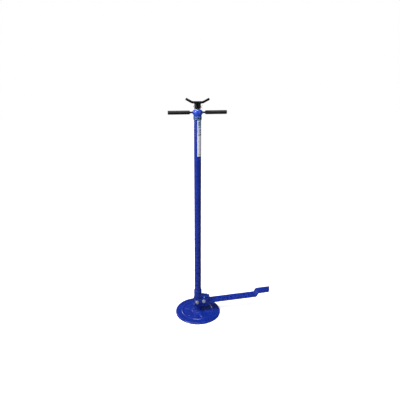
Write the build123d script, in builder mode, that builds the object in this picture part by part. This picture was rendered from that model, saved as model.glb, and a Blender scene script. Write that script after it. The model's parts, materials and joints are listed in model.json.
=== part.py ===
from build123d import *
import os
from math import cos, radians, sin, tan

# Under-hoist support stand: a round base, a tall column that a foot pedal lifts a little, and a
# saddle that a hand-turned hub screws up and down. Millimetres. The origin is on the floor at the
# column's axis, +Z is up and the pedal points along +X.

os.makedirs("parts", exist_ok=True)

# ---------------------------------------------------------------- driving dimensions
running_gap = 0.05  # radial gap of a pin in its hole
side_gap = 0.3  # gap between faces that slide past each other

# pressed base
base_radius = 150.0
sheet = 4.0  # thickness of the pressed sheet
rim_height = 10.0
dish_height = 11.0  # top of the dish beside the boss
boss_height = 16.0  # top of the centre boss
boss_radius = 34.0
boss_foot_radius = 45.0
bead_radius = 104.0
bead_half_width = 6.5
bead_rise = 3.0
rib_count = 6
rib_first_angle = -78.0
rib_start = 50.0  # distances of a rib's ends from the axis
rib_end = 93.0
rib_half_width = 8.0
rib_rise = 2.4
rib_taper = 40.0

# column and the guide tube that it slides in
column_radius = 21.0
column_bore = 18.0
column_top = 1284.0
foot_flange = 4.0
foot_spigot = 14.0
guide_radius = 25.5
guide_bore = column_radius + side_gap
guide_top = 168.0

# pedal linkage: the fulcrum is fixed, the lift bolt rides with the column
fulcrum_x = 35.0
fulcrum_z = 95.0
lift_x = -10.0
lift_z = 90.0
press_angle = 13.0  # degrees that the pedal goes down
bolt_radius = 6.0
across_flats = 19.0
head_height = 7.5
nut_height = 12.0
nut_collar = 4.0  # the round part of a lock nut, which holds its nylon ring
washer_thickness = 2.5
fulcrum_washer_radius = 11.2
lift_washer_radius = 12.0
lift_arm = fulcrum_x - lift_x
lift_drop = fulcrum_z - lift_z
column_lift = lift_arm * sin(radians(press_angle)) + lift_drop * (1 - cos(radians(press_angle)))

# pivot bracket, an inverted channel on the guide tube
bracket_half_width = 21.0
bracket_wall = 4.0
bracket_top = 125.5
bracket_knee_x = 38.0
bracket_end_x = 78.0
bracket_end_top = 114.5
bracket_fold = 3.0
bracket_lobe = 13.0

# return spring round the fulcrum bolt, and the pin that its still leg leans on
spring_coil_radius = 7.9
spring_wire_radius = 1.4
spring_half_width = 11.9
spring_pin_x = 40.0
spring_pin_z = 116.0
spring_pin_radius = 2.5
spring_pin_head_radius = 4.2
spring_pin_head = 2.4

# pedal
cheek_inside = 26.0
cheek_outside = 31.0
cheek_top = 114.0
cheek_bottom = 57.0
cheek_start_x = -29.0
cheek_end_x = 68.0
cheek_corner = 5.0
cheek_lift_lobe = 16.0
cheek_fulcrum_lobe = 19.0
bar_thickness = 8.0
bar_start_x = 50.0
bar_slope = 3.1  # degrees
bar_axis_z = 77.1  # height of the bar's middle line at x = 0
bend_x = 396.0
riser_run = 12.0
pad_start_z = 123.6  # height of the pad's middle line at its bend
pad_slope = 3.6  # degrees
pad_far_x = 507.0
pad_near_x = 484.0
bend_radius = 9.0

# lifting screw, its stop and its key
screw_radius = 12.5
screw_travel = 600.0
head_bottom = 1258.0
stop_ring_radius = 17.0
stop_ring_height = 12.0
stop_ring_top = head_bottom - screw_travel - 4.0
screw_bottom = stop_ring_top - stop_ring_height - 6.0
key_radius = 3.0
key_z = 1271.0
key_tip_y = 10.6
keyway_floor_y = 10.0
keyway_half_width = 3.3

# thrust bearing between the column head and the hub
head_flange = 3.0
bearing_radius = 25.0
bearing_bore = 14.0
race_thickness = 4.5
race_edge = 0.7
ball_radius = 3.4
ball_count = 12
ball_circle = 19.5
ball_room = 7.0  # distance between the two races
cage_thickness = 4.0
lower_race_z = column_top + head_flange
ball_z = lower_race_z + race_thickness + ball_room / 2
upper_race_z = lower_race_z + race_thickness + ball_room

# hub and handle
hub_bottom = upper_race_z + race_thickness
hub_top = 1341.0
hub_foot_radius = 21.0
hub_waist_radius = 25.8
hub_shoulder_radius = 25.0
handle_z = 1326.0
socket_radius = 9.5
socket_end_x = 28.6
rod_radius = 5.0
rod_start_x = 16.0
rod_end_x = 160.0
grip_radius = 11.0
grip_start_x = 43.0
grip_end_x = 171.0
grip_neck = 5.0  # length of the tapered inner end

# saddle
sleeve_radius = 19.0
sleeve_bottom = 1346.0
saddle_bottom = 1377.5
saddle_thickness = 9.5
saddle_depth = 60.0
saddle_knee = 20.0  # bend radius on the inside of each arm
saddle_turn = -8.0  # degrees that the saddle is turned round the column
saddle_flat = 29.25  # half the length of the flat middle
arm_length = 41.0
arm_angle = 28.0
cotter_z = 1359.0
cotter_radius = 2.0
cotter_leg = 13.0
cotter_spread = 38.0  # degrees that each leg is bent away
cotter_turn = -28.0  # direction of the legs round the column

# label on the column
label_bottom = 1072.0
label_top = 1282.5
label_thickness = 0.35
label_start = -102.6  # degrees round the column
label_sweep = 109.0


# ---------------------------------------------------------------- repeated shapes
def facing(x, y, z, side):
    """A plane across the Y axis at a point, looking towards -Y or +Y (side is -1 or 1)."""
    return Plane(origin=(x, y, z), x_dir=(1, 0, 0), z_dir=(0, side, 0))


def across(turn, distance=0.0):
    """An upright plane that faces +X turned about the column's axis, at a distance from it."""
    out = Vector(cos(radians(turn)), sin(radians(turn)), 0)
    return Plane(origin=out * distance, x_dir=(-out.Y, out.X, 0), z_dir=out)


def hex_bolt(x, z, seat_y, length):
    """A hex bolt along Y: its head stands outside seat_y and its shank runs inwards."""
    side = 1 if seat_y > 0 else -1
    outwards = Axis((0, 0, 0), (0, side, 0))
    with BuildPart() as bolt:
        with BuildSketch(facing(x, seat_y, z, side)):
            RegularPolygon(across_flats / 2, 6, major_radius=False)
        extrude(amount=head_height)
        chamfer(bolt.faces().sort_by(outwards)[-1].edges(), 1.0)
        with BuildSketch(facing(x, seat_y, z, side)):
            Circle(bolt_radius)
        extrude(amount=-length)
        chamfer(bolt.faces().sort_by(outwards)[0].edges(), 1.0)
    return bolt


def lock_nut(x, z, seat_y):
    """A hex lock nut: a hex body with a round collar, which is bored out for the nylon ring."""
    side = 1 if seat_y > 0 else -1
    hex_height = nut_height - nut_collar
    with BuildPart() as nut:
        with BuildSketch(facing(x, seat_y, z, side)):
            RegularPolygon(across_flats / 2, 6, major_radius=False)
            Circle(bolt_radius + running_gap, mode=Mode.SUBTRACT)
        extrude(amount=hex_height)
        with BuildSketch(facing(x, seat_y + side * hex_height, z, side)):
            Circle(across_flats / 2 - 0.6)
            Circle(across_flats / 2 - 1.8, mode=Mode.SUBTRACT)
        extrude(amount=nut_collar)
    return nut


def nylon_ring(x, z, seat_y):
    """The nylon ring that sits in a lock nut's collar."""
    side = 1 if seat_y > 0 else -1
    with BuildPart() as ring:
        with BuildSketch(facing(x, seat_y + side * (nut_height - nut_collar), z, side)):
            Circle(across_flats / 2 - 1.8)
            Circle(bolt_radius + running_gap, mode=Mode.SUBTRACT)
        extrude(amount=nut_collar - 0.5)
    return ring


def ring_pair(x, z, near_y, thickness, outer):
    """Two rings round a cross bolt, one on each side, with their inner faces at near_y."""
    with BuildPart() as rings:
        for side in (-1, 1):
            with BuildSketch(facing(x, side * near_y, z, side)):
                Circle(outer)
                Circle(bolt_radius + running_gap, mode=Mode.SUBTRACT)
            extrude(amount=thickness)
    return rings


def tube(outer, bore, bottom, top, edge=0.0):
    """A plain upright tube or ring about the column's axis, with its outer edges broken."""
    with BuildPart() as ring:
        with BuildSketch(Plane.XY.offset(bottom)):
            Circle(outer)
        extrude(amount=top - bottom)
        if edge:
            chamfer(ring.edges().filter_by(GeomType.CIRCLE), edge)
        with BuildSketch(Plane.XY.offset(bottom)):
            Circle(bore)
        extrude(amount=top - bottom, mode=Mode.SUBTRACT)
    return ring


# ---------------------------------------------------------------- base
# pressed disc with a turned-down rim, a stiffening bead and a raised boss, hollow underneath
rim_arc = 6.0
with BuildPart() as base_plate:
    with BuildSketch(Plane.XZ) as section:
        with BuildLine():
            Polyline(
                (0, boss_height),
                (boss_radius, boss_height),
                (boss_foot_radius, dish_height),
                (bead_radius - bead_half_width, dish_height),
            )
            ThreePointArc(
                (bead_radius - bead_half_width, dish_height),
                (bead_radius, dish_height + bead_rise),
                (bead_radius + bead_half_width, dish_height),
            )
            Line((bead_radius + bead_half_width, dish_height), (base_radius - rim_arc, rim_height))
            TangentArc(
                (base_radius - rim_arc, rim_height),
                (base_radius, rim_height - rim_arc),
                tangent=(1, 0),
            )
            Polyline(
                (base_radius, rim_height - rim_arc),
                (base_radius, 0),
                (base_radius - sheet, 0),
                (base_radius - sheet, rim_height - rim_arc),
            )
            TangentArc(
                (base_radius - sheet, rim_height - rim_arc),
                (base_radius - rim_arc, rim_height - sheet),
                tangent=(0, 1),
            )
            Line(
                (base_radius - rim_arc, rim_height - sheet),
                (bead_radius + bead_half_width - 1, dish_height - sheet),
            )
            ThreePointArc(
                (bead_radius + bead_half_width - 1, dish_height - sheet),
                (bead_radius, dish_height + bead_rise - sheet),
                (bead_radius - bead_half_width + 1, dish_height - sheet),
            )
            Polyline(
                (bead_radius - bead_half_width + 1, dish_height - sheet),
                (boss_foot_radius - 1.5, dish_height - sheet),
                (boss_radius - 1.5, boss_height - sheet),
                (0, boss_height - sheet),
                (0, boss_height),
            )
        make_face()
        outer_foot = bead_radius + bead_half_width
        formed_corners = section.vertices().filter_by(
            lambda corner: boss_radius - 2 < corner.X < outer_foot + 1
        )
        fillet(formed_corners, 2.5)
    revolve(axis=Axis.Z)
    with BuildSketch(Plane.XY.offset(dish_height)):
        with PolarLocations((rib_start + rib_end) / 2, rib_count, start_angle=rib_first_angle):
            SlotOverall(rib_end - rib_start, 2 * rib_half_width)
    extrude(amount=rib_rise, taper=rib_taper)
    rib_tops = base_plate.edges().filter_by(
        lambda edge: abs(edge.center().Z - dish_height - rib_rise) < 0.01
    )
    fillet(rib_tops, 1.5)
    with BuildSketch(Plane.XY.offset(dish_height - sheet)):
        with PolarLocations((rib_start + rib_end) / 2, rib_count, start_angle=rib_first_angle):
            SlotOverall(rib_end - rib_start - sheet, 2 * rib_half_width - sheet)
    extrude(amount=rib_rise, taper=rib_taper, mode=Mode.SUBTRACT)
base_plate.part.label = "base_plate"
export_step(base_plate.part, "parts/base_plate.step")

# the outer tube, welded upright on the boss, with a slot on each side for the lift bolt
slot_radius = bolt_radius + 0.6
guide_tube = tube(guide_radius, guide_bore, boss_height, guide_top)
with BuildPart() as slotted_guide:
    add(guide_tube.part)
    with BuildSketch(Plane.XZ):
        with Locations((lift_x, lift_z + column_lift / 2)):
            SlotCenterToCenter(column_lift, 2 * slot_radius, rotation=90)
    extrude(amount=2 * guide_radius, both=True, mode=Mode.SUBTRACT)
    chamfer(slotted_guide.faces().sort_by(Axis.Z)[-1].edges(), 1.0)
slotted_guide.part.label = "guide_tube"
export_step(slotted_guide.part, "parts/guide_tube.step")

# inverted channel that reaches out from the guide tube and carries the fulcrum bolt
with BuildPart() as pivot_bracket:
    with BuildSketch(Plane.XZ):
        Polygon(
            (12, bracket_top),
            (bracket_knee_x, bracket_top),
            (bracket_end_x, bracket_end_top),
            (bracket_end_x, 90),
            (52, 88),
            (12, 78),
            align=None,
        )
        with Locations((fulcrum_x, fulcrum_z)):
            Circle(bracket_lobe)
    extrude(amount=bracket_half_width, both=True)
    folds = pivot_bracket.edges().filter_by(
        lambda edge: abs(edge.center().Y) > bracket_half_width - 0.1
        and edge.center().Z > (bracket_end_top + bracket_top) / 2 - 2
        and edge.length > 20
    )
    fillet(folds, bracket_fold)
    with BuildSketch(Plane.XZ):
        Polygon(
            (0, bracket_top - bracket_wall),
            (bracket_knee_x - 0.7, bracket_top - bracket_wall),
            (bracket_end_x + 1, bracket_end_top - bracket_wall - 0.5),
            (bracket_end_x + 1, 60),
            (0, 60),
            align=None,
        )
    extrude(amount=bracket_half_width - bracket_wall, both=True, mode=Mode.SUBTRACT)
    with BuildSketch(Plane.XY):
        Circle(guide_radius)
    extrude(amount=guide_top, mode=Mode.SUBTRACT)
    with BuildSketch(Plane.XZ):
        with Locations((fulcrum_x, fulcrum_z)):
            Circle(bolt_radius + running_gap)
    extrude(amount=2 * bracket_half_width, both=True, mode=Mode.SUBTRACT)
    with BuildSketch(Plane.XZ):
        with Locations((spring_pin_x, spring_pin_z)):
            Circle(spring_pin_radius)
    extrude(amount=2 * bracket_half_width, both=True, mode=Mode.SUBTRACT)
pivot_bracket.part.label = "pivot_bracket"
export_step(pivot_bracket.part, "parts/pivot_bracket.step")

fulcrum_seat = cheek_outside + side_gap
fulcrum_bolt = hex_bolt(
    fulcrum_x,
    fulcrum_z,
    -(fulcrum_seat + washer_thickness),
    2 * (fulcrum_seat + washer_thickness) + nut_height + 2,
)
fulcrum_bolt.part.label = "fulcrum_bolt"
export_step(fulcrum_bolt.part, "parts/fulcrum_bolt.step")

fulcrum_nut = lock_nut(fulcrum_x, fulcrum_z, fulcrum_seat + washer_thickness)
fulcrum_nut.part.label = "fulcrum_nut"
export_step(fulcrum_nut.part, "parts/fulcrum_nut.step")

fulcrum_nut_ring = nylon_ring(fulcrum_x, fulcrum_z, fulcrum_seat + washer_thickness)
fulcrum_nut_ring.part.label = "fulcrum_nut_ring"
export_step(fulcrum_nut_ring.part, "parts/fulcrum_nut_ring.step")

fulcrum_washers = ring_pair(
    fulcrum_x, fulcrum_z, fulcrum_seat, washer_thickness, fulcrum_washer_radius
)
fulcrum_washers.part.label = "fulcrum_washers"
export_step(fulcrum_washers.part, "parts/fulcrum_washers.step")

fulcrum_spacers = ring_pair(
    fulcrum_x,
    fulcrum_z,
    bracket_half_width,
    cheek_inside - side_gap - bracket_half_width,
    bracket_lobe - 3,
)
fulcrum_spacers.part.label = "fulcrum_spacers"
export_step(fulcrum_spacers.part, "parts/fulcrum_spacers.step")

# torsion spring round the fulcrum bolt, as its outer shape with the leg that stays still
with BuildPart() as return_spring:
    with BuildSketch(facing(fulcrum_x, -spring_half_width, fulcrum_z, 1)):
        Circle(spring_coil_radius + spring_wire_radius)
        Circle(spring_coil_radius - spring_wire_radius, mode=Mode.SUBTRACT)
    extrude(amount=2 * spring_half_width)
    leg_start = Vector(
        fulcrum_x - spring_coil_radius, spring_half_width - spring_wire_radius, fulcrum_z
    )
    leg_end = Vector(
        spring_pin_x - spring_pin_radius - spring_wire_radius - 0.3,
        spring_half_width - spring_wire_radius,
        spring_pin_z + 2,
    )
    with BuildSketch(Plane(origin=leg_start, z_dir=leg_end - leg_start)):
        Circle(spring_wire_radius - 0.05)
    extrude(amount=(leg_end - leg_start).length)
return_spring.part.label = "return_spring"
export_step(return_spring.part, "parts/return_spring.step")

with BuildPart() as spring_pin:
    with BuildSketch(facing(spring_pin_x, -bracket_half_width, spring_pin_z, 1)):
        Circle(spring_pin_radius)
    extrude(amount=2 * bracket_half_width)
    for side in (-1, 1):
        with BuildSketch(facing(spring_pin_x, side * bracket_half_width, spring_pin_z, side)):
            Circle(spring_pin_head_radius)
        extrude(amount=spring_pin_head)
    head_edges = spring_pin.edges().filter_by(GeomType.CIRCLE).sort_by(Axis.Y)
    fillet([head_edges[0], head_edges[-1]], 1.6)
spring_pin.part.label = "spring_pin"
export_step(spring_pin.part, "parts/spring_pin.step")

# ---------------------------------------------------------------- pedal
# flat bar with a joggle up to the foot pad, whose end is cut at a slant
bar_start_z = bar_axis_z + bar_start_x * tan(radians(bar_slope))
bend_z = bar_axis_z + bend_x * tan(radians(bar_slope))
pad_bend_x = bend_x + riser_run
pad_end_z = pad_start_z + (pad_far_x + 10 - pad_bend_x) * tan(radians(pad_slope))
with BuildPart() as pedal_bar:
    with BuildSketch(Plane.XZ):
        with BuildLine() as middle:
            FilletPolyline(
                (bar_start_x, bar_start_z),
                (bend_x, bend_z),
                (pad_bend_x, pad_start_z),
                (pad_far_x + 10, pad_end_z),
                radius=bend_radius,
            )
        trace(middle.line, bar_thickness)
    extrude(amount=cheek_outside, both=True)
    with BuildSketch(Plane.XY):
        Polygon(
            (bar_start_x, -cheek_outside),
            (pad_near_x, -cheek_outside),
            (pad_far_x, cheek_outside),
            (bar_start_x, cheek_outside),
            align=None,
        )
    extrude(amount=2 * guide_top, mode=Mode.INTERSECT)
    corners = pedal_bar.edges().filter_by(lambda edge: abs(edge.center().Y) > cheek_outside - 0.1)
    corners = corners.filter_by(lambda edge: edge.center().X > pad_near_x - 1)
    fillet(corners.filter_by(lambda edge: edge.length < 2 * bar_thickness), 6)
    rims = pedal_bar.edges().filter_by(lambda edge: abs(edge.center().Y) > cheek_outside - 0.1)
    chamfer(rims.filter_by(lambda edge: edge.length > bar_thickness + 0.5), 1.0)
pedal_bar.part.label = "pedal_bar"
export_step(pedal_bar.part, "parts/pedal_bar.step")


def pedal_cheek(plane):
    """A plate beside the guide tube, from the lift bolt over the fulcrum bolt to the bar's end."""
    bar_half_height = bar_thickness / 2 / cos(radians(bar_slope))
    bar_end_z = bar_start_z + (cheek_end_x - bar_start_x) * tan(radians(bar_slope))
    with BuildPart() as cheek:
        with BuildSketch(plane):
            with Locations((lift_x, lift_z)):
                Circle(cheek_lift_lobe)
            with Locations((fulcrum_x, fulcrum_z)):
                Circle(cheek_fulcrum_lobe)
            with Locations((cheek_start_x + cheek_corner, cheek_bottom + cheek_corner)):
                Circle(cheek_corner)
            make_hull()
            Polygon(
                (fulcrum_x, cheek_top),
                (cheek_end_x, cheek_top),
                (cheek_end_x, cheek_bottom),
                (cheek_start_x + cheek_corner, cheek_bottom),
                align=None,
            )
            Polygon(
                (bar_start_x, bar_start_z + bar_half_height),
                (cheek_end_x, bar_end_z + bar_half_height),
                (cheek_end_x, bar_end_z - bar_half_height),
                (bar_start_x, bar_start_z - bar_half_height),
                align=None,
                mode=Mode.SUBTRACT,
            )
            with Locations((lift_x, lift_z)):
                Circle(slot_radius, mode=Mode.SUBTRACT)
            with Locations((fulcrum_x, fulcrum_z)):
                Circle(bolt_radius + running_gap, mode=Mode.SUBTRACT)
        extrude(amount=cheek_outside - cheek_inside)
        end_corners = cheek.edges().filter_by(Axis.Y).group_by(Axis.X)[-1].sort_by(Axis.Z)
        fillet([end_corners[0], end_corners[-1]], cheek_corner)
        outer_face = cheek.faces().filter_by(
            lambda face: abs(abs(face.center().Y) - cheek_outside) < 0.01
        )
        chamfer(outer_face[0].outer_wire().edges(), 0.8)
    return cheek


pedal_cheek_front = pedal_cheek(Plane.XZ.offset(cheek_inside))
pedal_cheek_front.part.label = "pedal_cheek_front"
export_step(pedal_cheek_front.part, "parts/pedal_cheek_front.step")

pedal_cheek_rear = pedal_cheek(Plane.XZ.offset(-cheek_outside))
pedal_cheek_rear.part.label = "pedal_cheek_rear"
export_step(pedal_cheek_rear.part, "parts/pedal_cheek_rear.step")

# ---------------------------------------------------------------- column
# the foot closes the tube's lower end and stands on the base's boss
with BuildPart() as column_foot:
    with BuildSketch(Plane.XY.offset(boss_height)):
        Circle(column_radius)
    extrude(amount=foot_flange)
    with BuildSketch(Plane.XY.offset(boss_height + foot_flange)):
        Circle(column_bore - running_gap)
    extrude(amount=foot_spigot)
column_foot.part.label = "column_foot"
export_step(column_foot.part, "parts/column_foot.step")

with BuildPart() as column_tube:
    with BuildSketch(Plane.XY.offset(boss_height + foot_flange)):
        Circle(column_radius)
        Circle(column_bore, mode=Mode.SUBTRACT)
    extrude(amount=column_top - boss_height - foot_flange)
    with BuildSketch(Plane.XZ):
        with Locations((lift_x, lift_z)):
            Circle(bolt_radius + running_gap)
    extrude(amount=2 * column_radius, both=True, mode=Mode.SUBTRACT)
    with BuildSketch(Plane.XZ):
        with Locations((0, key_z)):
            Circle(key_radius + running_gap)
    extrude(amount=-2 * column_radius, mode=Mode.SUBTRACT)
column_tube.part.label = "column_tube"
export_step(column_tube.part, "parts/column_tube.step")

lift_seat = cheek_outside + side_gap
lift_bolt = hex_bolt(
    lift_x,
    lift_z,
    lift_seat + washer_thickness,
    2 * (lift_seat + washer_thickness) + nut_height + 2,
)
lift_bolt.part.label = "lift_bolt"
export_step(lift_bolt.part, "parts/lift_bolt.step")

lift_nut = lock_nut(lift_x, lift_z, -(lift_seat + washer_thickness))
lift_nut.part.label = "lift_nut"
export_step(lift_nut.part, "parts/lift_nut.step")

lift_nut_ring = nylon_ring(lift_x, lift_z, -(lift_seat + washer_thickness))
lift_nut_ring.part.label = "lift_nut_ring"
export_step(lift_nut_ring.part, "parts/lift_nut_ring.step")

lift_washers = ring_pair(lift_x, lift_z, lift_seat, washer_thickness, lift_washer_radius)
lift_washers.part.label = "lift_washers"
export_step(lift_washers.part, "parts/lift_washers.step")

# the head closes the tube's upper end, guides the screw and carries the bearing
with BuildPart() as column_head:
    with BuildSketch(Plane.XY.offset(head_bottom)):
        Circle(column_bore - running_gap)
    extrude(amount=column_top - head_bottom)
    with BuildSketch(Plane.XY.offset(column_top)):
        Circle(bearing_radius - 2)
    extrude(amount=head_flange)
    with BuildSketch(Plane.XY.offset(head_bottom)):
        Circle(screw_radius + running_gap)
    extrude(amount=column_top + head_flange - head_bottom, mode=Mode.SUBTRACT)
    with BuildSketch(Plane.XZ):
        with Locations((0, key_z)):
            Circle(key_radius + running_gap)
    extrude(amount=-2 * column_radius, mode=Mode.SUBTRACT)
column_head.part.label = "column_head"
export_step(column_head.part, "parts/column_head.step")

# socket screw whose flat tip runs in the lifting screw's keyway
with BuildPart() as key_screw:
    with BuildSketch(facing(0, key_tip_y, key_z, 1)):
        Circle(key_radius)
    extrude(amount=column_radius + 0.6 - key_tip_y)
    with BuildSketch(facing(0, column_radius + 0.6, key_z, 1)):
        RegularPolygon(1.5, 6, major_radius=False)
    extrude(amount=-3, mode=Mode.SUBTRACT)
key_screw.part.label = "key_screw"
export_step(key_screw.part, "parts/key_screw.step")

with BuildPart() as label:
    with BuildSketch(Plane.XY.offset(label_bottom)):
        with BuildLine():
            outer_arc = CenterArc(
                (0, 0), column_radius + label_thickness, label_start, label_sweep
            )
            inner_arc = CenterArc((0, 0), column_radius, label_start, label_sweep)
            Line(outer_arc @ 0, inner_arc @ 0)
            Line(outer_arc @ 1, inner_arc @ 1)
        make_face()
    extrude(amount=label_top - label_bottom)
label.part.label = "label"
export_step(label.part, "parts/label.step")

# ---------------------------------------------------------------- thrust bearing
bearing_lower_race = tube(
    bearing_radius, bearing_bore, lower_race_z, lower_race_z + race_thickness, race_edge
)
bearing_lower_race.part.label = "bearing_lower_race"
export_step(bearing_lower_race.part, "parts/bearing_lower_race.step")

bearing_upper_race = tube(
    bearing_radius, bearing_bore, upper_race_z, upper_race_z + race_thickness, race_edge
)
bearing_upper_race.part.label = "bearing_upper_race"
export_step(bearing_upper_race.part, "parts/bearing_upper_race.step")

with BuildPart() as bearing_balls:
    with Locations(Plane.XY.offset(ball_z)):
        with PolarLocations(ball_circle, ball_count):
            Sphere(ball_radius)
bearing_balls.part.label = "bearing_balls"
export_step(bearing_balls.part, "parts/bearing_balls.step")

with BuildPart() as bearing_cage:
    with BuildSketch(Plane.XY.offset(ball_z - cage_thickness / 2)):
        Circle(bearing_radius - 0.5)
        Circle(bearing_bore + 0.5, mode=Mode.SUBTRACT)
    extrude(amount=cage_thickness)
    with Locations(Plane.XY.offset(ball_z)):
        with PolarLocations(ball_circle, ball_count):
            Sphere(ball_radius + 0.15, mode=Mode.SUBTRACT)
bearing_cage.part.label = "bearing_cage"
export_step(bearing_cage.part, "parts/bearing_cage.step")

# ---------------------------------------------------------------- hub and handle
# cast nut with a tapered body and a socket on each side for the handle rods
with BuildPart() as hub:
    with BuildSketch(Plane.XZ):
        with BuildLine():
            Line((0, hub_bottom), (hub_foot_radius, hub_bottom))
            ThreePointArc(
                (hub_foot_radius, hub_bottom),
                (hub_waist_radius, hub_bottom + 13),
                (hub_shoulder_radius, hub_top - 4),
            )
            Polyline(
                (hub_shoulder_radius, hub_top - 4),
                (hub_shoulder_radius - 3, hub_top),
                (0, hub_top),
                (0, hub_bottom),
            )
        make_face()
    revolve(axis=Axis.Z)
    with BuildSketch(Plane.YZ):
        with Locations((0, handle_z)):
            Circle(socket_radius)
    extrude(amount=socket_end_x, both=True)
    socket_roots = hub.edges().filter_by(
        lambda edge: hub_foot_radius < abs(edge.center().X) < socket_end_x - 0.5
    )
    fillet(socket_roots, 1.0)
    socket_rims = hub.edges().filter_by(lambda edge: abs(edge.center().X) > socket_end_x - 0.1)
    chamfer(socket_rims, 0.8)
    with BuildSketch(Plane.YZ):
        with Locations((0, handle_z)):
            Circle(rod_radius + running_gap)
    extrude(amount=2 * socket_end_x, both=True, mode=Mode.SUBTRACT)
    with BuildSketch(Plane.XY.offset(hub_bottom)):
        Circle(screw_radius + running_gap)
    extrude(amount=hub_top - hub_bottom, mode=Mode.SUBTRACT)
hub.part.label = "hub"
export_step(hub.part, "parts/hub.step")


def along_handle(x, side):
    """A plane across the handle, at a distance x from the column's axis."""
    return Plane(origin=(side * x, 0, handle_z), x_dir=(0, 1, 0), z_dir=(side, 0, 0))


def handle_rod(side):
    """A plain rod that is fixed in the hub's socket."""
    with BuildPart() as rod:
        with BuildSketch(along_handle(rod_start_x, side)):
            Circle(rod_radius)
        extrude(amount=rod_end_x - rod_start_x)
    return rod


def grip(side):
    """A soft sleeve over a handle rod, with a closed and rounded outer end."""
    with BuildPart() as sleeve:
        with BuildSketch(along_handle(grip_start_x, side)):
            Circle(grip_radius)
        extrude(amount=grip_end_x - grip_start_x)
        outwards = Axis((0, 0, 0), (side, 0, 0))
        fillet(sleeve.faces().sort_by(outwards)[-1].edges(), 2.5)
        neck_edge = sleeve.faces().sort_by(outwards)[0].edges()
        chamfer(neck_edge, grip_radius - rod_radius - 2, grip_neck)
        with BuildSketch(along_handle(grip_start_x - 1, side)):
            Circle(rod_radius + running_gap)
        extrude(amount=rod_end_x - grip_start_x + 1.2, mode=Mode.SUBTRACT)
    return sleeve


handle_rod_left = handle_rod(-1)
handle_rod_left.part.label = "handle_rod_left"
export_step(handle_rod_left.part, "parts/handle_rod_left.step")

handle_rod_right = handle_rod(1)
handle_rod_right.part.label = "handle_rod_right"
export_step(handle_rod_right.part, "parts/handle_rod_right.step")

grip_left = grip(-1)
grip_left.part.label = "grip_left"
export_step(grip_left.part, "parts/grip_left.step")

grip_right = grip(1)
grip_right.part.label = "grip_right"
export_step(grip_right.part, "parts/grip_right.step")

# ---------------------------------------------------------------- lifting screw
# round bar with the threads left off and a keyway along its back
cross_hole = cotter_radius + running_gap
cross_holes = ((cotter_z, cotter_turn), (stop_ring_top - stop_ring_height / 2, 0))
with BuildPart() as lifting_screw:
    with BuildSketch(Plane.XY.offset(screw_bottom)):
        Circle(screw_radius)
    extrude(amount=saddle_bottom - screw_bottom)
    with BuildSketch(Plane.XY.offset(stop_ring_top)):
        with Locations((0, keyway_floor_y + screw_radius)):
            Rectangle(2 * keyway_half_width, 2 * screw_radius)
    extrude(amount=key_z + 2 * key_radius - stop_ring_top, mode=Mode.SUBTRACT)
    for height, turn in cross_holes:
        with BuildSketch(across(turn)):
            with Locations((0, height)):
                Circle(cross_hole)
        extrude(amount=2 * screw_radius, both=True, mode=Mode.SUBTRACT)
lifting_screw.part.label = "lifting_screw"
export_step(lifting_screw.part, "parts/lifting_screw.step")

with BuildPart() as stop_ring:
    with BuildSketch(Plane.XY.offset(stop_ring_top - stop_ring_height)):
        Circle(stop_ring_radius)
        Circle(screw_radius + running_gap, mode=Mode.SUBTRACT)
    extrude(amount=stop_ring_height)
    with BuildSketch(Plane.YZ):
        with Locations((0, stop_ring_top - stop_ring_height / 2)):
            Circle(cross_hole)
    extrude(amount=2 * stop_ring_radius, both=True, mode=Mode.SUBTRACT)
stop_ring.part.label = "stop_ring"
export_step(stop_ring.part, "parts/stop_ring.step")

with BuildPart() as stop_ring_pin:
    with BuildSketch(Plane.YZ):
        with Locations((0, stop_ring_top - stop_ring_height / 2)):
            Circle(cotter_radius)
    extrude(amount=stop_ring_radius - 0.5, both=True)
stop_ring_pin.part.label = "stop_ring_pin"
export_step(stop_ring_pin.part, "parts/stop_ring_pin.step")

# ---------------------------------------------------------------- saddle
with BuildPart() as saddle_sleeve:
    with BuildSketch(Plane.XY.offset(sleeve_bottom)):
        Circle(sleeve_radius)
        Circle(screw_radius + running_gap, mode=Mode.SUBTRACT)
    extrude(amount=saddle_bottom - sleeve_bottom)
    chamfer(saddle_sleeve.faces().sort_by(Axis.Z)[0].edges(), 0.8)
    with BuildSketch(across(cotter_turn)):
        with Locations((0, cotter_z)):
            Circle(cross_hole)
    extrude(amount=2 * sleeve_radius, both=True, mode=Mode.SUBTRACT)
saddle_sleeve.part.label = "saddle_sleeve"
export_step(saddle_sleeve.part, "parts/saddle_sleeve.step")

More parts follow.
